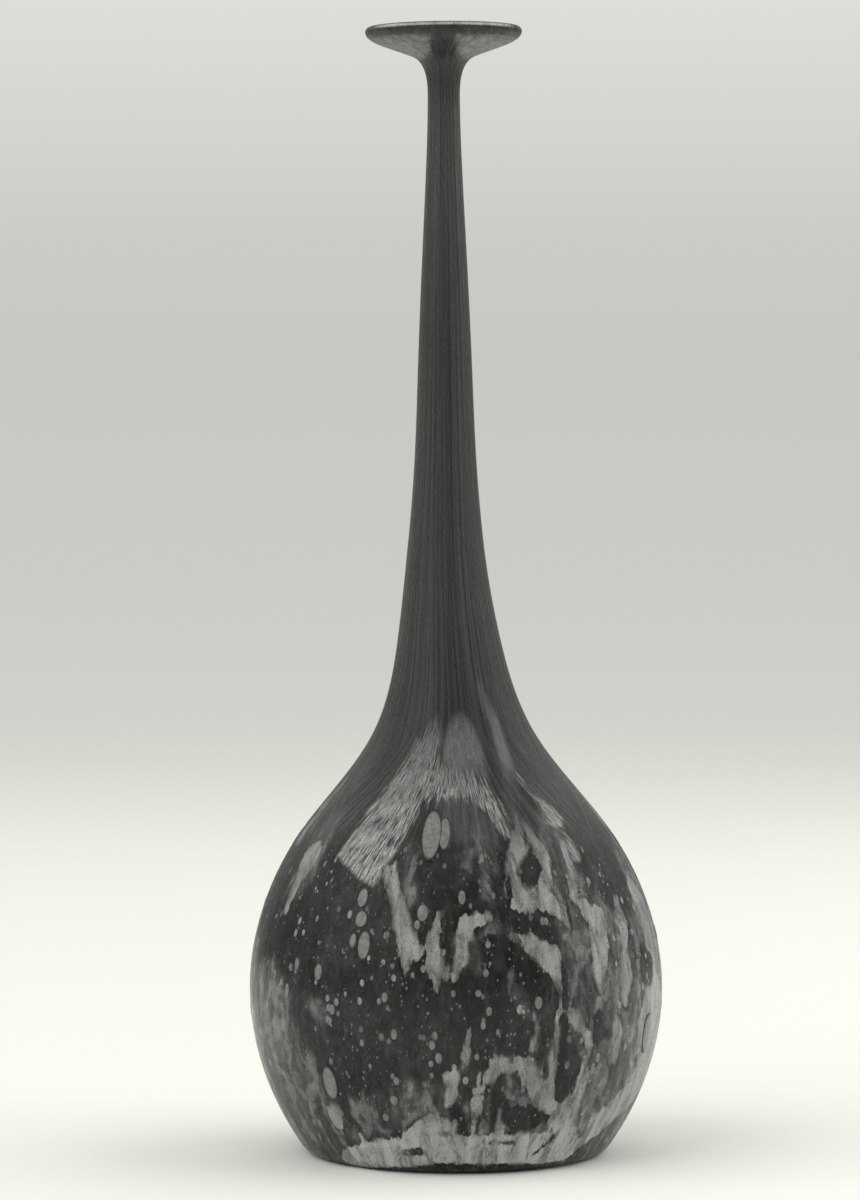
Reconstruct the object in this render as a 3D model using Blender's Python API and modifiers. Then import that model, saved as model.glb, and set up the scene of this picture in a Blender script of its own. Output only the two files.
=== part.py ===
"""A long-necked bottle of blown glass with a wide flared lip.

The bottle is one hollow piece: a round belly on a flat foot with a low kick, a
shoulder that sweeps up into a slender tapering neck, and a lip that spreads
like a shallow dish. It stands on the XY plane with the belly's axis on Z, and
its front is towards -Y. The neck leans a little to -X, as the hand that drew it
left it. All sizes are in metres.
"""

import math

import bmesh
import bpy
import numpy as np
from mathutils import Vector

# Outside of the body
FULL_HEIGHT = 0.340  # table to the top of the lip
FOOT_RADIUS = 0.0452  # where the side would meet the table, before its heel is rounded
HEEL_ROUND = 0.0034
BELLY_HEIGHT = 0.0506  # height of the widest place
BELLY_RADIUS = 0.0625
SHOULDER_RISE = 0.0622  # belly to the place where the side turns from round to hollow
SHOULDER_RADIUS = 0.0346
HOLLOW_RISE = 0.0424  # from there to the foot of the neck
NECK_FOOT_RADIUS = 0.0156

# Neck and flared lip
NECK_BORE_RADIUS = 0.00380  # at the neck's thinnest place, under the flare
NECK_WALL = 0.00105
THROAT_RISE = 0.0095  # height over which the neck bends outward into the flare
THROAT_REACH = 0.0050  # how far out along the flare that bend runs
FLARE_SLOPE_DEG = 19.8
LIP_RADIUS = 0.0236
LIP_EDGE = 0.00375  # height of the lip's blunt outer edge
LIP_ROUND = 0.0015
LIP_ROLL = 0.0048  # width of the thickened roll round the lip

# Wall thickness, floor and the ring that it stands on
FLARE_WALL = 0.0021
SHOULDER_WALL = 0.0024
BELLY_WALL = 0.0026
HEEL_WALL = 0.0042
FLOOR_THICKNESS = 0.0052
FLOOR_ROUND = 0.0130  # height at which the inside of the heel leaves the side
REST_WIDTH = 0.0048  # of the flat ring round the kick
KICK_HEIGHT = 0.0042

# The maker's hand in the neck and the lip
NECK_STEP = 0.0031  # how far the neck grows out of the shoulder's axis, towards -X
NECK_LEAN_DEG = 0.27
LIP_TILT_DEG = 0.5  # the lip's +X side is the higher one

# How the outline passes between two named places, as shares of the way up and across
FOOT_TO_BELLY = ((0.20, 0.370), (0.45, 0.711), (0.72, 0.928))
BELLY_TO_SHOULDER = ((0.30, 0.092), (0.60, 0.352), (0.80, 0.637))
SHOULDER_TO_NECK = ((0.30, 0.485), (0.60, 0.785))
ALONG_NECK = ((0.147, 0.333), (0.33, 0.581), (0.50, 0.690), (0.68, 0.807), (0.85, 0.935))
LEAN_SPREAD = (0.18, 0.20)  # where the step begins below the shoulder and ends above the neck's foot

# Fineness of the faceted solid
AROUND = 56
BELLY_RINGS = 6
SHOULDER_RINGS = 7
HOLLOW_RINGS = 6
NECK_RINGS = 9
BEND_RINGS = 5
KICK_RINGS = 5
INSIDE_FINENESS = 0.6  # share of those rings on the hidden inside

SHOULDER_HEIGHT = BELLY_HEIGHT + SHOULDER_RISE
NECK_FOOT_HEIGHT = SHOULDER_HEIGHT + HOLLOW_RISE
NECK_RADIUS = NECK_BORE_RADIUS + NECK_WALL
KICK_RADIUS = FOOT_RADIUS - HEEL_ROUND - REST_WIDTH
FLARE_RISE = math.tan(math.radians(FLARE_SLOPE_DEG))
LIP_CORNER_HEIGHT = FULL_HEIGHT - LIP_EDGE
THROAT_HEIGHT = LIP_CORNER_HEIGHT - (LIP_RADIUS - NECK_RADIUS) * FLARE_RISE
NECK_TOP_HEIGHT = THROAT_HEIGHT - THROAT_RISE


def mix(a, b, share):
    return a + (b - a) * share


def ease(t):
    """0 to 1 with level ends."""
    t = min(max(t, 0.0), 1.0)
    return t * t * (3 - 2 * t)


def cubic_spline(stations, start_slope=None, end_slope=None):
    """A smooth radius(height) through (height, radius) stations. An end without a slope is free."""
    z = np.array([height for height, _ in stations])
    r = np.array([radius for _, radius in stations])
    gap = np.diff(z)
    rise = np.diff(r) / gap
    count = len(z)
    matrix, right = np.zeros((count, count)), np.zeros(count)
    for i in range(1, count - 1):
        matrix[i, i - 1 : i + 2] = gap[i - 1], 2 * (gap[i - 1] + gap[i]), gap[i]
        right[i] = 6 * (rise[i] - rise[i - 1])
    matrix[0, 0] = matrix[-1, -1] = 1.0
    if start_slope is not None:
        matrix[0, :2] = 2 * gap[0], gap[0]
        right[0] = 6 * (rise[0] - start_slope)
    if end_slope is not None:
        matrix[-1, -2:] = gap[-1], 2 * gap[-1]
        right[-1] = 6 * (end_slope - rise[-1])
    bend = np.linalg.solve(matrix, right)

    def radius(height):
        i = int(np.clip(np.searchsorted(z, height) - 1, 0, count - 2))
        below, above = height - z[i], z[i + 1] - height
        curve = (bend[i] * above**3 + bend[i + 1] * below**3) / (6 * gap[i])
        start = (r[i] / gap[i] - bend[i] * gap[i] / 6) * above
        end = (r[i + 1] / gap[i] - bend[i + 1] * gap[i] / 6) * below
        return float(curve + start + end)

    return radius


def between(low, high, shares):
    """Stations on the way from one (height, radius) place to the next."""
    return [(mix(low[0], high[0], up), mix(low[1], high[1], across)) for up, across in shares]


def outline_functions():
    """The outer radius as a function of height, below the belly and above it."""
    foot = (0.0, FOOT_RADIUS)
    belly = (BELLY_HEIGHT, BELLY_RADIUS)
    shoulder = (SHOULDER_HEIGHT, SHOULDER_RADIUS)
    neck_foot = (NECK_FOOT_HEIGHT, NECK_FOOT_RADIUS)
    neck_top = (NECK_TOP_HEIGHT, NECK_RADIUS)
    lower = [foot, *between(foot, belly, FOOT_TO_BELLY), belly]
    upper = [belly, *between(belly, shoulder, BELLY_TO_SHOULDER), shoulder]
    upper += [*between(shoulder, neck_foot, SHOULDER_TO_NECK), neck_foot]
    upper += [*between(neck_foot, neck_top, ALONG_NECK), neck_top]
    return cubic_spline(lower, end_slope=0.0), cubic_spline(upper, start_slope=0.0, end_slope=0.0)


def bend_points(start, corner, end, steps):
    """A smooth turn from start to end that leaves and arrives along its corner's two sides."""
    points = []
    for i in range(1, steps + 1):
        t = i / steps
        weights = (1 - t) ** 2, 2 * t * (1 - t), t * t
        points.append(tuple(sum(w * p for w, p in zip(weights, places)) for places in zip(start, corner, end)))
    return points


def flare_height(radius):
    """Height of the flare's underside, a shallow cone."""
    return LIP_CORNER_HEIGHT - (LIP_RADIUS - radius) * FLARE_RISE


def side_outline(fineness):
    """The outer side from the top of the heel to the lip's underside, as (radius, height) points."""
    lower, upper = outline_functions()
    stretches = (
        (lower, HEEL_ROUND, BELLY_HEIGHT, BELLY_RINGS),
        (upper, BELLY_HEIGHT, SHOULDER_HEIGHT, SHOULDER_RINGS),
        (upper, SHOULDER_HEIGHT, NECK_FOOT_HEIGHT, HOLLOW_RINGS),
        (upper, NECK_FOOT_HEIGHT, NECK_TOP_HEIGHT, NECK_RINGS),
    )
    points = [(lower(HEEL_ROUND), HEEL_ROUND)]
    for radius, low, high, rings in stretches:
        rings = round(rings * fineness)
        for i in range(1, rings + 1):
            height = mix(low, high, i / rings)
            points.append((radius(height), height))
    throat_end = NECK_RADIUS + THROAT_REACH
    corner = (NECK_RADIUS, THROAT_HEIGHT)
    points += bend_points(points[-1], corner, (throat_end, flare_height(throat_end)), BEND_RINGS)
    roll_start = LIP_RADIUS - LIP_ROLL
    points.append((roll_start, flare_height(roll_start)))
    return points


def wall_at(height):
    """Wall thickness behind a place on the outer side."""
    places = (
        (FLOOR_ROUND, HEEL_WALL),
        (BELLY_HEIGHT, BELLY_WALL),
        (SHOULDER_HEIGHT, SHOULDER_WALL),
        (NECK_TOP_HEIGHT, NECK_WALL),
        (THROAT_HEIGHT, FLARE_WALL),
    )
    if height <= FLOOR_ROUND:
        return HEEL_WALL
    for (low, wall_low), (high, wall_high) in zip(places, places[1:]):
        if height <= high:
            return mix(wall_low, wall_high, ease((height - low) / (high - low)))
    return FLARE_WALL


def inner_side():
    """The inner side from the curve of the floor upward, a wall's thickness in from the outer one."""
    outer = side_outline(INSIDE_FINENESS)
    points = []
    for before, here, after in zip(outer, outer[1:], outer[2:] + outer[-1:]):
        along = (Vector(after) - Vector(before)).normalized()
        inward = Vector((-along.y, along.x))
        if here[1] > FLOOR_ROUND:
            points.append(tuple(Vector(here) + inward * wall_at(here[1])))
    return points


def lip_outline(outer_end, inner_end):
    """Round the lip: out to its edge, over the top and back in to the flare's inner face."""
    edge_height = FULL_HEIGHT - LIP_ROUND
    top = (LIP_RADIUS - LIP_ROUND, FULL_HEIGHT)
    points = bend_points(outer_end, (LIP_RADIUS, LIP_CORNER_HEIGHT), (LIP_RADIUS, edge_height), BEND_RINGS)
    for i in range(1, BEND_RINGS):
        angle = math.pi / 2 * i / (BEND_RINGS - 1)
        points.append((top[0] + LIP_ROUND * math.cos(angle), edge_height + LIP_ROUND * math.sin(angle)))
    points += bend_points(top, (mix(top[0], inner_end[0], 0.5), FULL_HEIGHT), inner_end, BEND_RINGS - 2)
    return points


def kick(radius):
    """Height of the dome pushed up under the foot."""
    return KICK_HEIGHT * math.cos(math.pi / 2 * radius / KICK_RADIUS) ** 2


def floor_outline(side):
    """The floor inside, from its centre to the foot of the inner side."""
    radii = [KICK_RADIUS * i / KICK_RINGS for i in range(KICK_RINGS + 1)]
    points = [(radius, FLOOR_THICKNESS + kick(radius)) for radius in radii]
    (low_radius, low_height), (high_radius, high_height) = side[:2]
    outward = (high_radius - low_radius) / (high_height - low_height)
    corner = (low_radius - outward * (low_height - FLOOR_THICKNESS), FLOOR_THICKNESS)
    return points + bend_points(points[-1], corner, side[0], BEND_RINGS - 1)[:-1]


def bottle_section():
    """The whole section at +X, from the floor's centre up the inside and down the outside to the kick."""
    outer = side_outline(1.0)
    inner = inner_side()
    lip = lip_outline(outer[-1], inner[-1])
    rest_edge = (FOOT_RADIUS - HEEL_ROUND, 0.0)
    heel = bend_points(outer[0], (FOOT_RADIUS, 0.0), rest_edge, BEND_RINGS - 2)
    radii = [KICK_RADIUS * i / KICK_RINGS for i in range(KICK_RINGS, -1, -1)]
    under = [(radius, kick(radius)) for radius in radii]
    return floor_outline(inner) + inner + lip[::-1][1:] + outer[::-1] + heel + under


def hand_shaped(point):
    """A point of the true turned form, moved as the maker's hand left the neck and the lip."""
    start = SHOULDER_HEIGHT - LEAN_SPREAD[0] * SHOULDER_RISE
    end = NECK_FOOT_HEIGHT + LEAN_SPREAD[1] * (NECK_TOP_HEIGHT - NECK_FOOT_HEIGHT)
    step = NECK_STEP * ease((point.z - start) / (end - start))
    lean = max(point.z - end, 0.0) * math.tan(math.radians(NECK_LEAN_DEG))
    in_lip = ease((point.z - NECK_TOP_HEIGHT) / THROAT_RISE)
    tilt = point.x * math.tan(math.radians(LIP_TILT_DEG)) * in_lip
    return Vector((point.x - step - lean, point.y, point.z + tilt))


def clear_scene():
    for obj in list(bpy.data.objects):
        bpy.data.objects.remove(obj, do_unlink=True)


def glass_material():
    material = bpy.data.materials.new("dark_mottled_glass")
    material.use_nodes = True
    shader = material.node_tree.nodes["Principled BSDF"]
    shader.inputs["Base Color"].default_value = (0.10, 0.11, 0.10, 1.0)
    shader.inputs["Roughness"].default_value = 0.08
    shader.inputs["Metallic"].default_value = 0.0
    return material


def turned_mesh(name, section):
    """A closed mesh turned round Z from a section whose two ends lie on the axis."""
    outline = bpy.data.meshes.new(name + "_section")
    bm = bmesh.new()
    verts = [bm.verts.new((radius, 0.0, height)) for radius, height in section]
    for a, b in zip(verts, verts[1:]):
        bm.edges.new((a, b))
    bm.to_mesh(outline)
    bm.free()
    turned = bpy.data.objects.new(name + "_section", outline)
    bpy.context.scene.collection.objects.link(turned)
    screw = turned.modifiers.new("turn", "SCREW")
    screw.axis = "Z"
    screw.angle = math.tau
    screw.steps = screw.render_steps = AROUND
    screw.use_merge_vertices = True
    screw.merge_threshold = 0.00001
    graph = bpy.context.evaluated_depsgraph_get()
    mesh = bpy.data.meshes.new_from_object(turned.evaluated_get(graph))
    mesh.name = name
    bpy.data.objects.remove(turned, do_unlink=True)
    bpy.data.meshes.remove(outline)
    return mesh


def make_bottle():
    mesh = turned_mesh("bottle", bottle_section())
    for vertex in mesh.vertices:
        vertex.co = hand_shaped(vertex.co)
    mesh.shade_smooth()
    mesh.set_sharp_from_angle(angle=math.radians(40))
    mesh.materials.clear()
    mesh.materials.append(glass_material())
    return bpy.data.objects.new("bottle", mesh)


def build():
    clear_scene()
    collection = bpy.data.collections.new("glass_bottle")
    bpy.context.scene.collection.children.link(collection)
    collection.objects.link(make_bottle())


build()
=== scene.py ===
"""The looks of a long-necked blown-glass bottle: dark glass with paler drawn patches and small bubbles.

The bottle's outline repeats the named sizes of its solid model, in metres. The
glass is one closed, hollow mesh. Its pattern is laid out on the glass itself:
by turn round the axis, 0 at the front and growing to the right, and by run, the
length along the outer side from the resting ring upward.
"""

import math

import bmesh
import bpy
import numpy as np
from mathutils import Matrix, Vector


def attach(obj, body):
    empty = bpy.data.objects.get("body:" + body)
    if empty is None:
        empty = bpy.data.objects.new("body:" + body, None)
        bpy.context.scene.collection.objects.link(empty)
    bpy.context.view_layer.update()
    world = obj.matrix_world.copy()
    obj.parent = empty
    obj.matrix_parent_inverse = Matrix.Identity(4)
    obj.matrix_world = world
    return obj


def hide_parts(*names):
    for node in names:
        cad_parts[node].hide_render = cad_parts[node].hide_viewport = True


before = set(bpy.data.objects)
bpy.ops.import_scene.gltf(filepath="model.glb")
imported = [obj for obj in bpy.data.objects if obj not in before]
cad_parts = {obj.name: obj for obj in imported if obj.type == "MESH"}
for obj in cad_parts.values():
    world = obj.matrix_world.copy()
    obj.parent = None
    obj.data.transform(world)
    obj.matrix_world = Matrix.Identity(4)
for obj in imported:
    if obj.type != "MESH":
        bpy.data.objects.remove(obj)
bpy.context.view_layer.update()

# Outside of the body
FULL_HEIGHT = 0.340
FOOT_RADIUS = 0.0452
HEEL_ROUND = 0.0034
BELLY_HEIGHT = 0.0506
BELLY_RADIUS = 0.0625
SHOULDER_RISE = 0.0622
SHOULDER_RADIUS = 0.0346
HOLLOW_RISE = 0.0424
NECK_FOOT_RADIUS = 0.0156

# Neck and flared lip
NECK_BORE_RADIUS = 0.00380
NECK_WALL = 0.00105
THROAT_RISE = 0.0095
THROAT_REACH = 0.0050
FLARE_SLOPE_DEG = 19.8
LIP_RADIUS = 0.0236
LIP_EDGE = 0.00375
LIP_ROUND = 0.0015
LIP_ROLL = 0.0048

# Wall thickness, floor and the ring that it stands on
FLARE_WALL = 0.0021
SHOULDER_WALL = 0.0024
BELLY_WALL = 0.0026
HEEL_WALL = 0.0042
FLOOR_THICKNESS = 0.0052
FLOOR_ROUND = 0.0130
REST_WIDTH = 0.0048
KICK_HEIGHT = 0.0042
SCAR_RADIUS = 0.0105
SCAR_WIDTH = 0.0014
SCAR_HEIGHT = 0.0009

# The maker's hand in the neck and the lip
NECK_STEP = 0.0031
NECK_LEAN_DEG = 0.27
LIP_TILT_DEG = 0.5

# How the outline passes between two named places, as shares of the way up and across
FOOT_TO_BELLY = ((0.20, 0.370), (0.45, 0.711), (0.72, 0.928))
BELLY_TO_SHOULDER = ((0.30, 0.092), (0.60, 0.352), (0.80, 0.637))
SHOULDER_TO_NECK = ((0.30, 0.485), (0.60, 0.785))
ALONG_NECK = ((0.147, 0.333), (0.33, 0.581), (0.50, 0.690), (0.68, 0.807), (0.85, 0.935))
LEAN_SPREAD = (0.18, 0.20)

SHOULDER_HEIGHT = BELLY_HEIGHT + SHOULDER_RISE
NECK_FOOT_HEIGHT = SHOULDER_HEIGHT + HOLLOW_RISE
NECK_RADIUS = NECK_BORE_RADIUS + NECK_WALL
KICK_RADIUS = FOOT_RADIUS - HEEL_ROUND - REST_WIDTH
FLARE_RISE = math.tan(math.radians(FLARE_SLOPE_DEG))
LIP_CORNER_HEIGHT = FULL_HEIGHT - LIP_EDGE
THROAT_HEIGHT = LIP_CORNER_HEIGHT - (LIP_RADIUS - NECK_RADIUS) * FLARE_RISE
NECK_TOP_HEIGHT = THROAT_HEIGHT - THROAT_RISE

# Fineness of the mesh
BODY_STEP = 0.00098
NECK_STEP_LENGTH = 0.0028
LIP_STEP = 0.0008
RIM_STEP = 0.00045
FLARE_INSIDE_STEP = 0.0014
INSIDE_STEP = 0.0030
AROUND_OUTSIDE = 240
AROUND_INSIDE = 120
FRONT_CROWDING = 0.42  # how much closer the columns stand at the front than at the back
CURVE_POINTS = 60
SIDE_POINTS = 1600
STRAIGHT_FROM = 0.128  # above this height the neck is nearly straight
UNDER_STEP = 0.0016
BUBBLE_SEGMENTS = 24
BUBBLE_RINGS = 12

# The camera, as the photograph was taken
EYE = Vector((-0.00787, -1.426, 0.225))
AIM = Vector((-0.00787, 0.0, 0.1673))
FRAME_HEIGHT = 0.363  # height of the picture at the bottle

# Unrolled glass: a turn of one radian counts as this many millimetres
UNROLL_MM = 60.0
FAR_MM = 30.0  # a depth that stands for far inside or far outside a form
DEPTH_LIMIT = 8.0  # depths are kept within this many millimetres


def mix(a, b, share):
    return a + (b - a) * share


def ease(t):
    """0 to 1 with level ends."""
    t = np.clip(t, 0.0, 1.0)
    return t * t * (3 - 2 * t)


def cubic_spline(stations, start_slope=None, end_slope=None):
    """A smooth radius(height) through (height, radius) stations. An end without a slope is free."""
    z = np.array([height for height, _ in stations])
    r = np.array([radius for _, radius in stations])
    gap = np.diff(z)
    rise = np.diff(r) / gap
    count = len(z)
    matrix, right = np.zeros((count, count)), np.zeros(count)
    for i in range(1, count - 1):
        matrix[i, i - 1 : i + 2] = gap[i - 1], 2 * (gap[i - 1] + gap[i]), gap[i]
        right[i] = 6 * (rise[i] - rise[i - 1])
    matrix[0, 0] = matrix[-1, -1] = 1.0
    if start_slope is not None:
        matrix[0, :2] = 2 * gap[0], gap[0]
        right[0] = 6 * (rise[0] - start_slope)
    if end_slope is not None:
        matrix[-1, -2:] = gap[-1], 2 * gap[-1]
        right[-1] = 6 * (end_slope - rise[-1])
    bend = np.linalg.solve(matrix, right)

    def radius(height):
        i = np.clip(np.searchsorted(z, height) - 1, 0, count - 2)
        below, above = height - z[i], z[i + 1] - height
        curve = (bend[i] * above**3 + bend[i + 1] * below**3) / (6 * gap[i])
        start = (r[i] / gap[i] - bend[i] * gap[i] / 6) * above
        end = (r[i + 1] / gap[i] - bend[i + 1] * gap[i] / 6) * below
        return curve + start + end

    return radius


def between(low, high, shares):
    """Stations on the way from one (height, radius) place to the next."""
    return [(mix(low[0], high[0], up), mix(low[1], high[1], across)) for up, across in shares]


def outline_functions():
    """The outer radius as a function of height, below the belly and above it."""
    foot = (0.0, FOOT_RADIUS)
    belly = (BELLY_HEIGHT, BELLY_RADIUS)
    shoulder = (SHOULDER_HEIGHT, SHOULDER_RADIUS)
    neck_foot = (NECK_FOOT_HEIGHT, NECK_FOOT_RADIUS)
    neck_top = (NECK_TOP_HEIGHT, NECK_RADIUS)
    lower = [foot, *between(foot, belly, FOOT_TO_BELLY), belly]
    upper = [belly, *between(belly, shoulder, BELLY_TO_SHOULDER), shoulder]
    upper += [*between(shoulder, neck_foot, SHOULDER_TO_NECK), neck_foot]
    upper += [*between(neck_foot, neck_top, ALONG_NECK), neck_top]
    return cubic_spline(lower, end_slope=0.0), cubic_spline(upper, start_slope=0.0, end_slope=0.0)


LOWER_SIDE, UPPER_SIDE = outline_functions()


def side_radius(height):
    """The outer radius of the body and neck at any height."""
    return np.where(height < BELLY_HEIGHT, LOWER_SIDE(height), UPPER_SIDE(height))


def bend_points(start, corner, end):
    """A smooth turn from start to end that leaves and arrives along its corner's two sides."""
    t = np.linspace(0.0, 1.0, CURVE_POINTS)[:, None]
    start, corner, end = (np.array(place)[None] for place in (start, corner, end))
    return (1 - t) ** 2 * start + 2 * t * (1 - t) * corner + t * t * end


def flare_height(radius):
    """Height of the flare's underside, a shallow cone."""
    return LIP_CORNER_HEIGHT - (LIP_RADIUS - radius) * FLARE_RISE


def outer_side():
    """The outer side from the resting ring to the lip's roll, as close (radius, height) points."""
    heights = np.linspace(HEEL_ROUND, NECK_TOP_HEIGHT, SIDE_POINTS)
    side = np.column_stack((side_radius(heights), heights))
    rest_edge = (FOOT_RADIUS - HEEL_ROUND, 0.0)
    heel = bend_points(rest_edge, (FOOT_RADIUS, 0.0), side[0])
    throat_end = NECK_RADIUS + THROAT_REACH
    throat = bend_points(side[-1], (NECK_RADIUS, THROAT_HEIGHT), (throat_end, flare_height(throat_end)))
    flare_radii = np.linspace(throat_end, LIP_RADIUS - LIP_ROLL, CURVE_POINTS)
    flare = np.column_stack((flare_radii, flare_height(flare_radii)))
    return np.vstack((heel, side[1:], throat[1:], flare[1:]))


def wall_at(height):
    """Wall thickness behind a place on the outer side."""
    places = (
        (FLOOR_ROUND, HEEL_WALL),
        (BELLY_HEIGHT, BELLY_WALL),
        (SHOULDER_HEIGHT, SHOULDER_WALL),
        (NECK_TOP_HEIGHT, NECK_WALL),
        (THROAT_HEIGHT, FLARE_WALL),
    )
    wall = np.full_like(height, HEEL_WALL)
    for (low, wall_low), (high, wall_high) in zip(places, places[1:]):
        wall = np.where(height > low, mix(wall_low, wall_high, ease((height - low) / (high - low))), wall)
    return wall


def inner_side(outer):
    """The inner side from the curve of the floor upward, a wall's thickness in from the outer one."""
    along = np.gradient(outer, axis=0)
    along /= np.linalg.norm(along, axis=1)[:, None]
    inward = np.column_stack((-along[:, 1], along[:, 0]))
    points = outer + inward * wall_at(outer[:, 1])[:, None]
    return points[outer[:, 1] > FLOOR_ROUND]


def lip_outline(outer_end, inner_end):
    """Round the lip: out to its edge, over the top and back in to the flare's inner face."""
    edge_height = FULL_HEIGHT - LIP_ROUND
    top_radius = LIP_RADIUS - LIP_ROUND
    under = bend_points(outer_end, (LIP_RADIUS, LIP_CORNER_HEIGHT), (LIP_RADIUS, edge_height))
    angles = np.linspace(0.0, math.pi / 2, CURVE_POINTS)
    edge = np.column_stack((np.cos(angles), np.sin(angles))) * LIP_ROUND + (top_radius, edge_height)
    over = bend_points(edge[-1], (mix(top_radius, inner_end[0], 0.5), FULL_HEIGHT), inner_end)
    return np.vstack((under[1:], edge[1:], over[1:]))


def kick(radius):
    """Height of the dome pushed up under the foot."""
    return KICK_HEIGHT * np.cos(math.pi / 2 * np.minimum(radius / KICK_RADIUS, 1.0)) ** 2


def floor_outline(side):
    """The floor inside, from its centre to the foot of the inner side."""
    radii = np.linspace(0.0, KICK_RADIUS, CURVE_POINTS)
    floor = np.column_stack((radii, FLOOR_THICKNESS + kick(radii)))
    outward = (side[1, 0] - side[0, 0]) / (side[1, 1] - side[0, 1])
    corner = (side[0, 0] - outward * (side[0, 1] - FLOOR_THICKNESS), FLOOR_THICKNESS)
    return np.vstack((floor, bend_points(floor[-1], corner, side[0])[1:-1]))


def under_outline():
    """The underside from its centre to the resting ring, with the ring-shaped scar of the maker's rod."""
    radii = np.linspace(0.0, FOOT_RADIUS - HEEL_ROUND, 2 * CURVE_POINTS)
    scar = SCAR_HEIGHT * np.exp(-(((radii - SCAR_RADIUS) / SCAR_WIDTH) ** 2))
    return np.column_stack((radii, kick(radii) - scar))


def resampled(points, step):
    """The outline with points a step apart; step is a length or a function of height."""
    lengths = np.concatenate(([0.0], np.cumsum(np.linalg.norm(np.diff(points, axis=0), axis=1))))
    steps = step(points[:, 1]) if callable(step) else np.full(len(points), step)
    pace = np.concatenate(([0.0], np.cumsum(np.diff(lengths) * 2 / (steps[1:] + steps[:-1]))))
    paces = np.linspace(0.0, pace[-1], round(pace[-1]) + 1)
    at = np.interp(paces, pace, lengths)
    return np.column_stack([np.interp(at, lengths, points[:, k]) for k in (0, 1)])


def outer_step(height):
    in_neck = ease((height - STRAIGHT_FROM) / 0.02) * (1 - ease((height - NECK_TOP_HEIGHT) / 0.004))
    in_lip = ease((height - NECK_TOP_HEIGHT) / 0.004)
    return BODY_STEP + (NECK_STEP_LENGTH - BODY_STEP) * in_neck + (LIP_STEP - BODY_STEP) * in_lip


def rim_step(height):
    return RIM_STEP + (FLARE_INSIDE_STEP - RIM_STEP) * (1 - ease((height - LIP_CORNER_HEIGHT) / 0.0008))


def hand_shaped(points):
    """Points of the true turned form, moved as the maker's hand left the neck and the lip."""
    x, y, z = points.T
    start = SHOULDER_HEIGHT - LEAN_SPREAD[0] * SHOULDER_RISE
    end = NECK_FOOT_HEIGHT + LEAN_SPREAD[1] * (NECK_TOP_HEIGHT - NECK_FOOT_HEIGHT)
    step = NECK_STEP * ease((z - start) / (end - start))
    lean = np.maximum(z - end, 0.0) * math.tan(math.radians(NECK_LEAN_DEG))
    tilt = x * math.tan(math.radians(LIP_TILT_DEG)) * ease((z - NECK_TOP_HEIGHT) / THROAT_RISE)
    return np.column_stack((x - step - lean, y, z + tilt))


def turns(count, crowding):
    """Angles round the axis, 0 at the front; crowding brings them closer together there."""
    t = np.arange(count) / count
    return 2 * math.pi * t - crowding * np.sin(2 * math.pi * t)


# Dark streaks drawn out of the neck into the lip; the one at the front is painted shade, the dark bore seen
# through the flare: (turn in degrees, half width in millimetres)
LIP_STREAKS = ((0, 3.9), (97, 2.2), (181, 3.1), (254, 1.8))
LIP_SHADE_WIDTH = 0.0024  # painted shade along the lip's edge, where the dark surroundings are reflected
RIM_HIGHLIGHT = (0.0003, 0.00135)  # how far below the top the painted highlight on the lip lies

# The dark glass leans to green, and its pale parts are nearly without colour
DARK_TINT = (0.92, 1.0, 0.965)
PALE_SHIFT = (0.08, 0.0, 0.015)
PALE_TONES = (0.06, 0.35)

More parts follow.
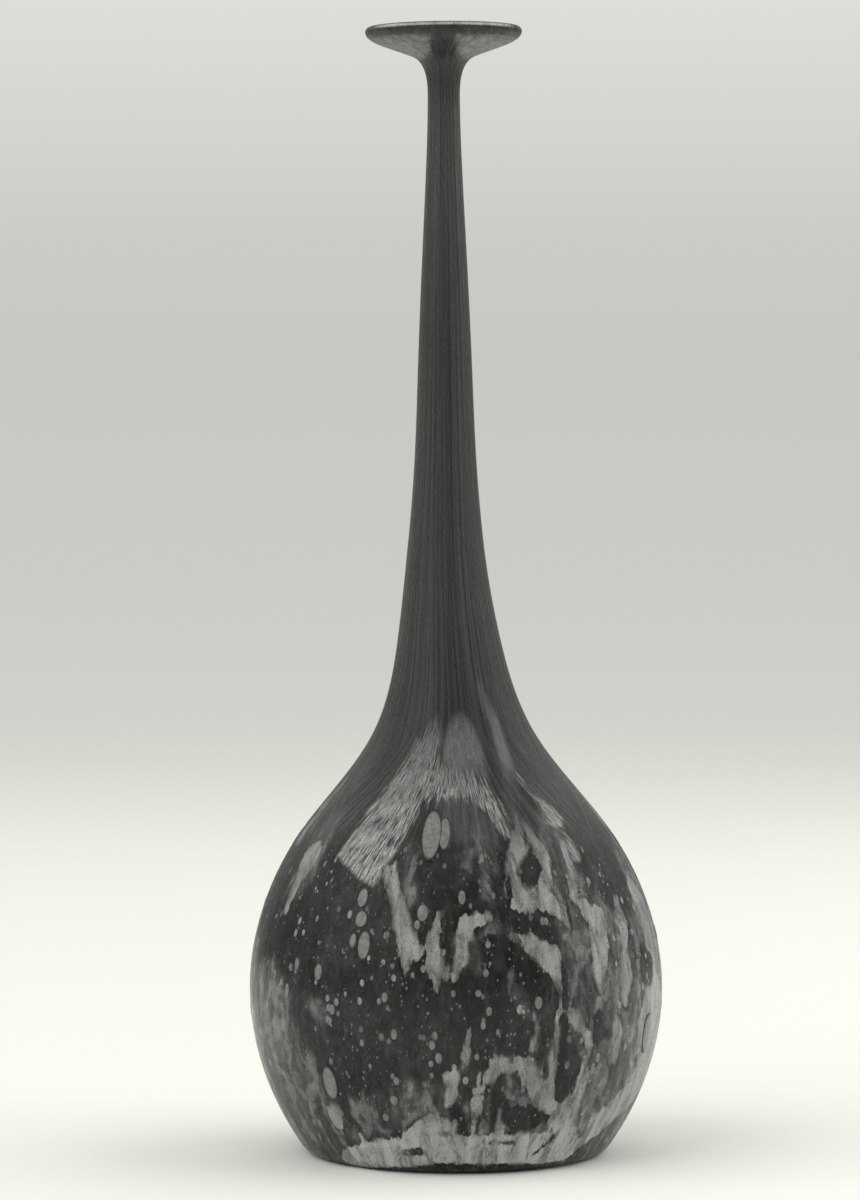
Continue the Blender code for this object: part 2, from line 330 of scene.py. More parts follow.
# The pattern's layout, drawn on the front as the camera sees it. A path runs through its places, each
# (across, height, half width) in millimetres from the belly's axis and the table.
PALE_PATHS = (
    # drips that run down out of the shoulder, left to right
    ((-18.9, 87, 0.8), (-17.7, 74, 1.9), (-15.3, 64.4, 3.3), (-15.7, 54, 0.4)),
    ((-15, 63, 1.5), (-12.5, 60.4, 2.2)),
    ((-21.5, 86, 1.0), (-20.5, 77, 0.8)),
    ((-5.2, 72.5, 0.7), (-7.3, 65.2, 1.9), (-6.9, 57, 2.4), (-6, 47.9, 0.4)),
    ((9, 71, 1.2), (3.2, 68.9, 2.4), (1.6, 63.6, 2.4), (1.2, 57.6, 1.5), (-0.9, 52, 0.6), (-3.2, 55, 0.6)),
    # the net round the dark drop on the right shoulder
    ((18, 102, 0.9), (18.6, 95, 2.2), (17.6, 89, 3.2), (18, 82, 3.2)),
    ((22.4, 89, 3.8), (22.2, 82, 6.0)),
    ((20, 100, 1.2), (26, 91, 1.8), (28.2, 81.5, 1.0)),
    ((16.8, 84, 2.0), (19, 76.5, 3.6), (24, 77.6, 3.8), (28, 75.5, 2.8), (31.5, 73, 1.6), (34, 68, 0.6)),
    ((35, 76.6, 0.5), (38.5, 75, 1.4), (40.3, 71, 1.2)),
    ((32.7, 93, 1.0), (35, 84, 1.4), (36, 77, 0.8)),
    ((19.4, 65.6, 1.0), (23.4, 62.8, 2.7), (28.2, 58.8, 3.3), (30.7, 53.9, 1.6)),
    ((31.5, 50, 0.5), (31.9, 46.7, 0.5), (30.7, 40.2, 0.45), (28.8, 22, 0.4)),
    # down the right side
    ((42.6, 71, 2.5), (43.2, 64.4, 2.6), (43.2, 56.4, 1.8), (43.6, 49.9, 1.2)),
    ((48.8, 75.3, 1.0), (50, 70, 1.5), (51, 64.4, 1.0)),
    ((53.5, 80, 1.2), (57.2, 72, 2.2), (59.3, 64, 2.0)),
    ((60, 50, 2.0), (59.3, 40, 3.4), (57.3, 25.7, 2.8), (51.6, 16, 2.8), (43, 9, 2.6), (38, 5, 3.4)),
    ((34.7, 41.8, 1.4), (37.1, 38.6, 1.3), (39.5, 35, 0.7), (39.6, 30, 0.45), (38, 25.7, 0.45),
     (36.2, 17.6, 0.9)),
    ((48.8, 38.6, 1.2), (47.6, 29, 1.3)),
    ((38.6, 27, 0.6), (37.8, 20, 2.0), (35, 12, 2.6)),
    ((28.9, 30, 0.6), (28.8, 20, 1.3), (31, 11, 2.4)),
    ((50.5, 62, 0.5), (51.5, 54, 1.8), (51, 46, 0.8)),
    ((53.2, 26, 0.5), (51.6, 20, 0.6)),
    # the thin net between the dark drops low on the right
    ((23.4, 43, 0.45), (23.2, 31, 0.4)),
    ((4.3, 37.5, 0.45), (2.4, 29, 1.1), (1.7, 25, 0.5)),
    # the arch over the pointed dark form, and its right leg
    ((7.3, 18.4, 1.4), (9.3, 23.3, 2.3), (12.5, 26.4, 2.0), (15.7, 25.2, 1.8)),
    ((19.4, 27, 2.2), (21.8, 23, 2.8), (24.8, 18, 2.8), (29.5, 12.6, 3.4), (33.5, 8, 3.8), (33.5, 3, 4.0)),
    ((34, 15, 1.4), (32, 11, 2.0)),
    ((47, 8.5, 1.0), (42, 6.5, 2.0), (37, 3, 2.6)),
    ((-1.2, 22.5, 1.8), (-1.6, 17.6, 1.8), (-2.4, 13.6, 1.0)),
    ((5.6, 15.2, 1.6), (5.6, 11.2, 1.1), (4.4, 6, 1.2)),
    ((12.7, 11.5, 0.9), (13.3, 6, 1.3)),
    # the band along the foot
    ((34, 2, 4.8), (27, 0.5, 5.0), (20, 0.5, 5.2), (8, 0, 5.4), (-6, 0.5, 5.6), (-24, -1.5, 4.6),
     (-32, -3, 3.2)),
    ((-14, 3, 3.0), (-7.3, 8, 3.2), (-2.4, 6.8, 2.4)),
    ((-29, 4.5, 0.9), (-27, 1, 1.8)),
    # the far left
    ((-44, 90, 2.5), (-48.7, 80.6, 1.0), (-52, 72.6, 0.45)),
    ((-37, 11.6, 2.2), (-36.5, 8.7, 1.9)),
)
DARK_PATHS = (
    # on the right shoulder and side
    ((22.2, 91.5, 0.9), (22.6, 86.5, 3.6), (21.8, 83, 3.6)),
    ((16, 83, 0.9), (15.2, 67, 1.0)),
    ((-4.1, 71.7, 0.6), (-4.1, 63.7, 1.1)),
    ((9.7, 61.5, 4.2), (15, 56.4, 7.2), (17.2, 47, 9.5), (16.9, 38, 7.0)),
    ((56.5, 61.2, 0.9), (57.8, 56.4, 2.3), (58, 53, 1.4)),
    ((42.8, 40.2, 1.9), (43.2, 36.2, 2.5), (41.5, 32.2, 0.9)),
    ((33.1, 38.6, 1.0), (33.5, 32.2, 2.8), (33.9, 24.9, 4.2), (32.0, 18.0, 3.2)),
    # pointed forms along the foot
    ((6.8, 43, 2.4), (7.3, 32, 3.2), (7.3, 20, 0.5)),
    ((2.8, 17.2, 2.2), (1.5, 14.5, 1.0), (-0.8, 11.6, 1.9), (1.6, 8, 1.5), (2.4, 5.5, 0.5)),
    ((7.3, 10.8, 1.3), (5.8, 6.8, 0.5)),
    ((13.3, 22.5, 0.5), (12.2, 17, 2.8), (10.9, 11.2, 1.5), (10.9, 6, 0.6)),
    ((14.5, 14, 2.2), (17, 10.5, 4.0), (22, 9.8, 4.2), (27, 9.8, 1.4)),
    ((31.1, 5.9, 0.7), (27.4, 2.3, 0.9), (23.4, -1.3, 0.4)),
)
GREY_PATHS = (
    # forms of a middle grey that cut into the pale glass
    ((47.6, 21.7, 3.2), (46.8, 16, 1.8)),
    ((39.3, 14, 2.4), (38.3, 8, 2.2), (37.9, 4.7, 1.0)),
    ((48.4, 7.2, 2.2), (43.6, 3, 2.8)),
    ((-16, -0.8, 1.0), (-11, -0.6, 1.4)),
    ((10, 2.4, 0.6), (17.5, 2.2, 0.7)),
)
VEIL_PATHS = (
    # soft grey shapes that lie deeper in the glass, and one painted reflection low on the left
    ((27, 100, 3.5), (34, 80, 7.0), (42, 62, 10.0), (48, 45, 12.0), (46, 25, 12.0), (38, 10, 12.0)),
    ((53, 85, 3.0), (58, 62, 4.0), (58, 35, 4.5)),
    ((5.7, 61, 1.2), (9.2, 67.3, 1.8), (14.5, 68, 1.4), (19, 63.7, 1.8), (26, 58, 3.0)),
    # painted reflection: the bright floor seen in the glass low on the left
    ((-57, 50, 4.0), (-53, 30, 7.0), (-44, 12, 9.0), (-36, 3, 8.0)),
    ((-28, 10, 6.0), (-12, 14, 7.0), (0, 12, 7.0), (14, 10, 7.0)),
    ((-38.7, 98.3, 3.5), (-47.6, 82.3, 3.2)),
    ((9, 98, 1.6), (10.5, 86, 2.6), (8, 76, 1.2)),
    ((-3, 106, 5.0), (2, 100, 8.0), (7, 97, 6.0)),
    ((-1, 102, 1.0), (4, 92, 1.0), (2, 82, 1.0)),
    ((-14, 92, 2.0), (-14, 78, 3.0)),
    ((-43, 44, 1.4), (-41.5, 41, 1.0)),
    ((20, 20, 7.0), (30, 5, 9.0)),
    ((38, 9, 6.0), (45, 5, 6.0), (38, 0, 6.0)),
)
INNER_PATHS = (
    # grey streaks inside the dark forms
    ((15.7, 54, 0.9), (17.7, 48.3, 1.7), (20.2, 43.5, 1.7), (22.2, 40.2, 0.9)),
    ((8, 56, 0.4), (9, 44, 0.5)),
)
SHEEN_HAZE_PATHS = (
    # painted sheen: a smooth grey glow of the lights' reflection at the foot of the neck, above the arch,
    # and a line down its right side
    ((2.6, 120.5, 13.0), (3, 114.5, 13.0)),
    ((8.6, 140, 2.6), (12.4, 130.7, 3.6), (16.1, 116.5, 3.2), (17.1, 104.4, 2.6), (17, 94, 2.4)),
)
PAINTED_SHEEN_PATHS = (
    # painted sheen on the shoulder, the lights' reflection painted as a pale tone: a long left leg, the band
    # over the arch, and loose strands to the right
    ((-6.5, 125, 6.0), (-10.5, 117, 10.0), (-17.5, 106.5, 10.5), (-24.5, 96, 10.4), (-31, 86, 8.8)),
    ((-8, 112, 6.0), (4, 111.5, 5.4), (11, 105, 3.6), (15.5, 96, 1.6)),
    ((19, 114, 0.8), (24, 108, 1.8), (29.3, 101.5, 3.0)),
    ((33, 96, 1.0), (36, 90, 1.8)),
)
# The painted sheen's left leg ends sharply on the line through these places
SHEEN_CUT = ((-37.2, 90.4), (-27.2, 81.0))
SHEEN_CUT_TURN = 1.2  # the cut holds this far round from the front, in radians
SHEEN_APEX = 168.0  # height that the painted sheen's strands fan out from, mm

# Forms scattered over the sides and the back: (how many, runs, lengths, half widths), in millimetres
PATTERN_SEED = 7
HIDDEN_TURNS = (math.radians(74), math.radians(286))
HIDDEN_PALE = ((46, (8, 95), (5, 36), (0.6, 4.6)), (14, (-4, 4), (4, 12), (1.5, 6.0)))
HIDDEN_DARK = ((22, (0, 80), (6, 18), (1.4, 8.0)),)
HIDDEN_GREY = ((20, (0, 80), (6, 26), (1.4, 6.0)),)
HIDDEN_VEIL = ((26, (0, 100), (10, 30), (2.5, 5.0)),)
# patches of painted sheen, the lights' reflection, on the sides and the back
HIDDEN_SHEEN = ((7, (100, 125), (10, 26), (3, 7)),)

BUBBLE_SEED = 11
BUBBLE_RISE = 0.10  # how far a bubble stands proud, as a share of its half width
BUBBLE_SWELL = 1.12  # the dark outline lies outside the size that is laid out
# Bubbles on the sides and the back, with heights in metres and widths in millimetres
HIDDEN_BUBBLES = 70
BUBBLE_TURNS = (math.radians(75), math.radians(285))
BUBBLE_HEIGHTS = (0.012, 0.098)
BUBBLE_WIDTHS = (1.1, 3.7)
BUBBLE_STRETCH = (1.3, 2.6)  # length as a multiple of width
# Bubbles in the front of the glass: (across, height, width, length)
BUBBLES = (
    (-7.6, 96, 5.2, 16.0), (-3.7, 96.4, 3.0, 10.6), (-28.5, 77, 3.0, 5.5), (-29.0, 70.5, 3.6, 4.6),
    (-31.5, 64, 2.0, 4.0), (-28.2, 62.5, 3.6, 8.0), (-42.0, 54.5, 2.6, 4.6), (-48.4, 57, 1.8, 3.6),
    (-55.0, 54, 1.3, 2.8), (-51.4, 49, 1.7, 4.0), (-10.4, 72.3, 3.0, 4.9), (-12.1, 68.7, 1.6, 2.6),
    (-36.6, 45.3, 1.6, 2.2), (-37.9, 43, 1.8, 2.9), (-39.3, 40, 1.3, 2.2), (-22.0, 46.6, 1.8, 2.9),
    (-19.2, 35.3, 1.8, 3.0), (-7.6, 32, 1.8, 2.8), (-5.6, 28, 2.0, 3.2), (-7.9, 26.3, 1.4, 1.8),
    (-38.4, 20.6, 4.6, 9.8), (-19.1, 15.2, 2.2, 3.0), (-21.6, 10, 1.8, 2.4), (9.7, 42.3, 1.7, 2.5),
    (24.7, 45, 2.3, 3.6), (7.9, 38, 1.4, 2.4), (12.4, 36, 1.2, 1.8), (6.4, 47.8, 1.7, 2.0),
    (9.4, 62.7, 1.6, 2.2), (1.5, 77, 2.0, 4.2), (11.0, 77.5, 1.1, 2.0), (42.7, 28.4, 1.8, 3.0),
    (57.6, 36.0, 5.2, 11.0), (27.0, 69.8, 1.5, 2.2), (37.8, 33.5, 1.2, 1.8),
)


def on_the_glass(across, height):
    """Turn and height of the place on the front that the camera sees at a place of the picture."""
    across, seen = across / 1000, height / 1000
    radius = float(side_radius(seen))
    for _ in range(12):
        near = math.sqrt(max(radius**2 - across**2, 0.0))
        share = 1 - near / -EYE.y
        true_height = max(EYE.z + (seen - EYE.z) * share, 0.0)
        radius = float(side_radius(true_height))
    side = min(max((across * share) / radius, -0.995), 0.995)
    return math.asin(side), true_height


class Unroll:
    """The outer side laid flat: turn becomes a length across and height becomes a run from the foot."""

    def __init__(self, outline):
        self.heights = outline[:, 1]
        steps = np.linalg.norm(np.diff(outline, axis=0), axis=1)
        self.runs = 1000 * np.concatenate(([0.0], np.cumsum(steps)))

    def run_at(self, true_height):
        return float(np.interp(true_height, self.heights, self.runs))

    def place(self, across, height, width):
        """Across, run and half width on the flat, where a form seen side-on is wider than it looks."""
        turn, true_height = on_the_glass(across, height)
        return turn * UNROLL_MM, self.run_at(true_height), width / max(math.cos(turn), 0.3)


def stroke_depth(at, start, end):
    """How deep inside a tapered stroke each place lies, in millimetres; below zero outside it."""
    (u0, s0, w0), (u1, s1, w1) = start, end
    whole_turn = 2 * math.pi * UNROLL_MM
    u = (at[:, 0] - u0 + whole_turn / 2) % whole_turn - whole_turn / 2
    s = at[:, 1] - s0
    du, ds = u1 - u0, s1 - s0
    share = np.clip((u * du + s * ds) / max(du * du + ds * ds, 1e-6), 0.0, 1.0)
    return mix(w0, w1, share) - np.hypot(u - share * du, s - share * ds)


def joined_depth(at, paths, blend):
    """Depth inside the union of paths, which flow into each other over a short blend."""
    total = np.full(len(at), -FAR_MM)
    for path in paths:
        depth = np.max([stroke_depth(at, *ends) for ends in zip(path, path[1:])], axis=0)
        share = np.clip(0.5 + 0.5 * (depth - total) / blend, 0.0, 1.0)
        total = mix(total, depth, share) + blend * share * (1 - share)
    return total


def laid_paths(unroll, paths):
    return [[unroll.place(*spot) for spot in path] for path in paths]


def scattered_paths(rng, kinds):
    """Paths over the sides and the back, which the layout of the front leaves open."""
    made = []
    for runs, lengths, widths in (kind for count, *kind in kinds for _ in range(count)):
        u = rng.uniform(*HIDDEN_TURNS) * UNROLL_MM
        run, length = rng.uniform(*runs), rng.uniform(*lengths)
        width = mix(*widths, rng.random() ** 2)
        drift = rng.normal(0.0, 0.20, 2) * length
        top, low = (0.3, 1.0) if rng.random() < 0.5 else (0.8, 0.25)
        upper_end = (u + drift[0], run + length, top * width)
        lower_end = (u + drift[1], run, low * width)
        made.append((upper_end, (u, run + length / 2, width), lower_end))
    return made


def revolved(outline, angles):
    """The outline turned round the axis, as rows of points."""
    sines, cosines = np.sin(angles), np.cos(angles)
    r, z = outline[:, :1], outline[:, 1:]
    return np.stack((r * sines, -r * cosines, z + 0 * sines), axis=2).reshape(-1, 3)


def grid_faces(rows, columns, first):
    """Quads of a grid that closes round, facing out where rows run upward on the outside."""
    i = np.arange(rows - 1)[:, None]
    j = np.arange(columns)[None]
    following = (j + 1) % columns
    quad = (i * columns + j, i * columns + following, (i + 1) * columns + following, (i + 1) * columns + j)
    return (first + np.stack(np.broadcast_arrays(*quad), axis=2)).reshape(-1, 4)


def float_attribute(mesh, name, values):
    attribute = mesh.attributes.new(name, "FLOAT", "POINT")
    attribute.data.foreach_set("value", np.ascontiguousarray(values, dtype=np.float32))


def vector_attribute(mesh, name, values):
    attribute = mesh.attributes.new(name, "FLOAT_VECTOR", "POINT")
    attribute.data.foreach_set("vector", np.ascontiguousarray(values, dtype=np.float32).ravel())


def bottle_mesh():
    """The closed glass mesh, with its pattern as attributes on the outer side."""
    side = outer_side()
    outer = resampled(side, outer_step)
    inner_full = inner_side(side)
    throat = np.searchsorted(inner_full[:, 1], NECK_TOP_HEIGHT)
    rim = np.vstack((lip_outline(side[-1], inner_full[-1]), inner_full[throat:-1][::-1]))
    lip = resampled(rim, rim_step)
    under = resampled(under_outline(), UNDER_STEP)
    inner = resampled(np.vstack((floor_outline(inner_full), inner_full[: throat + 1])), INSIDE_STEP)
    outside = np.vstack((under[1:-1], outer, lip[1:]))
    inside = inner[1:]
    angles_out = turns(AROUND_OUTSIDE, FRONT_CROWDING)
    angles_in = angles_out[::2]
    poles = np.array([[0.0, 0.0, under[0, 1]], [0.0, 0.0, inner[0, 1]]])
    grids = revolved(outside, angles_out), revolved(inside[::-1][1:], angles_in)
    points = hand_shaped(np.vstack((*grids, poles)))

    rows_out, rows_in = len(outside), len(inside) - 1
    first_in = rows_out * AROUND_OUTSIDE
    pole_under, pole_floor = len(points) - 2, len(points) - 1
    faces = grid_faces(rows_out, AROUND_OUTSIDE, 0).tolist()
    faces += grid_faces(rows_in, AROUND_INSIDE, first_in).tolist()
    top = (rows_out - 1) * AROUND_OUTSIDE
    last = first_in + (rows_in - 1) * AROUND_INSIDE
    for j in range(AROUND_INSIDE):
        k = (j + 1) % AROUND_INSIDE
        a, b, c = top + 2 * j, top + 2 * j + 1, top + (2 * j + 2) % AROUND_OUTSIDE
        faces += [(a, b, first_in + j), (b, c, first_in + k, first_in + j)]
        faces.append((last + j, last + k, pole_floor))
    for j in range(AROUND_OUTSIDE):
        faces.append(((j + 1) % AROUND_OUTSIDE, j, pole_under))

    mesh = bpy.data.meshes.new("bottle_glass")
    mesh.from_pydata(points.tolist(), [], faces)
    mesh.shade_smooth()
    paint_layout(mesh, outer, outside, len(under) - 2, angles_out)
    inside_face = np.array([min(face) >= first_in or pole_floor in face for face in faces])
    mesh.polygons.foreach_set("material_index", inside_face.astype(np.int32))
    return mesh


def cut_depth(at, unroll):
    """How far above the painted sheen's sharp end each place on the front lies."""
    (cut_u, cut_s, _), (end_u, end_s, _) = (unroll.place(*spot, 0.0) for spot in SHEEN_CUT)
    past_cut = (at[:, 0] - cut_u) * (end_s - cut_s) - (at[:, 1] - cut_s) * (end_u - cut_u)
    inside_cut = -past_cut / math.hypot(end_u - cut_u, end_s - cut_s)
    return np.where(np.abs(at[:, 0]) < SHEEN_CUT_TURN * UNROLL_MM, inside_cut, FAR_MM)


def fanned(at, unroll):
    """Coordinates that fan out from places above the shoulder, one in each third of the turn."""
    third = 2 * math.pi * UNROLL_MM / 3
    sector = np.round(at[:, 0] / third)
    fall = np.maximum(unroll.run_at(SHEEN_APEX / 1000) - at[:, 1], 20.0)
    return np.column_stack(((at[:, 0] - sector * third) * 60.0 / fall, at[:, 1], sector * 40.0))


def lip_marks(turn, radii, heights):
    """The lip's dark streaks, the painted shade along its edge and the painted highlight line on its top, as
    shares.
    """
    streaks = np.zeros(len(turn))
    for streak_deg, half_width in LIP_STREAKS:
        off = turn - math.radians(streak_deg)
        away = np.where(np.cos(off) > 0, np.abs(radii * 1000 * np.sin(off)), 99.0)
        streaks = np.maximum(streaks, ease((half_width + 0.8 - away) / 1.6))
    # painted shade: the lip's edge darkened all round, apart from the painted highlight
    at_edge = ease((radii - LIP_RADIUS + LIP_SHADE_WIDTH) / 0.0008)
    below_top = FULL_HEIGHT - heights
    # painted highlight: a bright line just below the lip's top, at the front and the back
    line = ease((RIM_HIGHLIGHT[1] - below_top) / 0.0003) * ease((below_top - RIM_HIGHLIGHT[0]) / 0.0003)
    line *= at_edge * ease((np.abs(np.cos(turn)) - 0.40) / 0.30)
    return np.maximum(streaks, at_edge * (1 - line)), line


def paint_layout(mesh, outer, outside, first_row, angles):
    """Writes the pattern's layout on the outer side as attributes."""
    unroll = Unroll(outer)
    steps = np.concatenate(([0.0], np.cumsum(np.linalg.norm(np.diff(outside, axis=0), axis=1)))) * 1000
    runs = steps - steps[first_row]
    signed = np.where(angles > math.pi, angles - 2 * math.pi, angles)
    grid_run = np.repeat(runs, len(angles))
    grid_turn = np.tile(signed, len(runs))
    at = np.column_stack((grid_turn * UNROLL_MM, grid_run))

    rng = np.random.default_rng(PATTERN_SEED)
    pale = laid_paths(unroll, PALE_PATHS) + scattered_paths(rng, HIDDEN_PALE)
    dark = laid_paths(unroll, DARK_PATHS) + scattered_paths(rng, HIDDEN_DARK)
    grey = laid_paths(unroll, GREY_PATHS) + scattered_paths(rng, HIDDEN_GREY)
    veil = laid_paths(unroll, VEIL_PATHS + INNER_PATHS) + scattered_paths(rng, HIDDEN_VEIL)
    # painted sheen: the zone where the lights' reflection is painted as a pale tone
    sheen = laid_paths(unroll, PAINTED_SHEEN_PATHS) + scattered_paths(rng, HIDDEN_SHEEN)
    inner = joined_depth(at, laid_paths(unroll, INNER_PATHS), 0.5)
    core = np.minimum(joined_depth(at, dark, 0.8), -inner)
    grey_depth = joined_depth(at, grey, 0.8)
    patch = np.minimum(joined_depth(at, pale, 1.2), -np.maximum(core, grey_depth))
    veil_share = ease(joined_depth(at, veil, 3.0) / 6.0 + 0.5)
    veil_share = mix(veil_share, 1.0, ease(grey_depth + 0.5))
    sheen_haze_share = ease(joined_depth(at, laid_paths(unroll, SHEEN_HAZE_PATHS), 3.0) / 5.0 + 0.5)
    sheen_depth = np.minimum(joined_depth(at, sheen, 3.0), cut_depth(at, unroll))

    heights = np.repeat(outside[:, 1], len(angles))
    radii = np.repeat(outside[:, 0], len(angles))
    lip_streaks_and_shade, rim_highlight = lip_marks(grid_turn, radii, heights)
    flow = np.column_stack((UNROLL_MM * np.cos(grid_turn), UNROLL_MM * np.sin(grid_turn), grid_run))
    rest = len(mesh.vertices) - len(at)
    for name, vectors in (("flow", flow), ("fan", fanned(at, unroll))):
        vector_attribute(mesh, name, np.vstack((vectors, np.zeros((rest, 3)))))
    depths = {"patch": patch, "core": core, "sheen": sheen_depth}
    for name, depth in depths.items():
        kept = np.clip(depth, -DEPTH_LIMIT, DEPTH_LIMIT)
        float_attribute(mesh, name, np.concatenate((kept, np.full(rest, -DEPTH_LIMIT))))
    values = {
        "veil": veil_share,
        "sheen_haze": sheen_haze_share,
        "rise": heights * 1000,
        "lip_streaks_and_shade": lip_streaks_and_shade,
        "rim_highlight": rim_highlight,
        "neck": ease((heights - 0.114) / 0.03),
        "lip": ease((heights - THROAT_HEIGHT) / 0.0012),
    }
    for name, value in values.items():
        float_attribute(mesh, name, np.concatenate((value, np.zeros(rest))))


class Graph:
    """Short calls for building the nodes of a material or of the world."""

    def __init__(self, owner):
        self.owner = owner
        owner.use_nodes = True
        self.nodes = owner.node_tree.nodes
        self.links = owner.node_tree.links

    def put(self, socket, value):
        if isinstance(value, bpy.types.NodeSocket):
            self.links.new(value, socket)
        else:
            socket.default_value = value

    def fill(self, node, values):
        """Puts numbers or other nodes' outputs into a node's inputs and gives its outputs."""
        for key, value in values.items():
            self.put(node.inputs[key], value)
        return node.outputs

    def surface(self, values):
        """Fills the material's own shader and gives the material."""
        self.fill(self.nodes["Principled BSDF"], values)
        return self.owner

    def math(self, operation, *values):
        node = self.nodes.new("ShaderNodeMath")
        node.operation = operation
        return self.fill(node, dict(enumerate(values)))[0]

    def vector_math(self, operation, *values):
        node = self.nodes.new("ShaderNodeVectorMath")
        node.operation = operation
        return self.fill(node, dict(enumerate(values)))[0]

    def attribute(self, name, output="Fac"):
        node = self.nodes.new("ShaderNodeAttribute")
        node.attribute_name = name
        return node.outputs[output]

    def place(self, output="Object"):
        return self.nodes.new("ShaderNodeTexCoord").outputs[output]

    def stretched(self, vector, scale):
        return self.vector_math("MULTIPLY", vector, scale)

    def split(self, vector):
        return self.fill(self.nodes.new("ShaderNodeSeparateXYZ"), {0: vector})

    def noise(self, vector, scale, detail=2.0, roughness=0.5, distortion=0.0, output="Fac"):
        values = {"Vector": vector, "Scale": scale, "Detail": detail, "Roughness": roughness}
        values["Distortion"] = distortion
        return self.fill(self.nodes.new("ShaderNodeTexNoise"), values)[output]

    def net(self, vector, scale):
        """Lines of varied width between cells that are drawn out upward: 1 on a line, 0 inside a cell."""
        bent = self.noise(vector, 0.12, output="Color")
        shifted = self.vector_math("MULTIPLY_ADD", bent, (9.0, 9.0, 14.0), vector)
        node = self.nodes.new("ShaderNodeTexVoronoi")
        node.feature = "DISTANCE_TO_EDGE"
        cells = self.fill(node, {"Vector": self.stretched(shifted, (1, 1, 0.38)), "Scale": scale})
        return self.ramp(cells["Distance"], 0.015, 0.15, 1.0, 0.0)

    def ramp(self, value, low, high, to_low=0.0, to_high=1.0, kind="SMOOTHSTEP"):
        """Goes from to_low to to_high as value goes from low to high."""
        node = self.nodes.new("ShaderNodeMapRange")
        node.interpolation_type = kind
        return self.fill(node, dict(enumerate((value, low, high, to_low, to_high))))[0]

    def blend(self, share, a, b):
        return self.fill(self.nodes.new("ShaderNodeMix"), {"Factor": share, "A": a, "B": b})["Result"]

    def tinted(self, tone, tint):
        """A colour of one tint whose brightness is the tone."""
        node = self.nodes.new("ShaderNodeVectorMath")
        node.operation = "SCALE"
        return self.fill(node, {0: tint, "Scale": tone})[0]

    def glass_colour(self, tone):
        paleness = self.ramp(tone, *PALE_TONES)
        return self.tinted(tone, self.vector_math("MULTIPLY_ADD", paleness, PALE_SHIFT, DARK_TINT))

    def bump(self, height, distance, below=None):
        node = self.nodes.new("ShaderNodeBump")
        values = {"Distance": distance, "Height": height}
        if below is not None:
            values["Normal"] = below
        return self.fill(node, values)[0]


def seeds(g, flow, scale, smallest, largest, share):
    """Pin-head bubbles, one in some cells of a drawn-out pattern, each with its own half width in mm."""
    cell_values = {"Vector": g.stretched(flow, (1, 1, 0.66)), "Scale": scale}
    cells = g.fill(g.nodes.new("ShaderNodeTexVoronoi"), cell_values)
    chance, size, _ = g.fill(g.nodes.new("ShaderNodeSeparateColor"), {0: cells["Color"]})
    radius = g.math("MULTIPLY_ADD", size, (largest - smallest) * scale, smallest * scale)
    inside = g.ramp(g.math("SUBTRACT", radius, cells["Distance"]), -0.02, 0.08 * scale)
    return g.math("MULTIPLY", g.math("LESS_THAN", chance, share), inside)


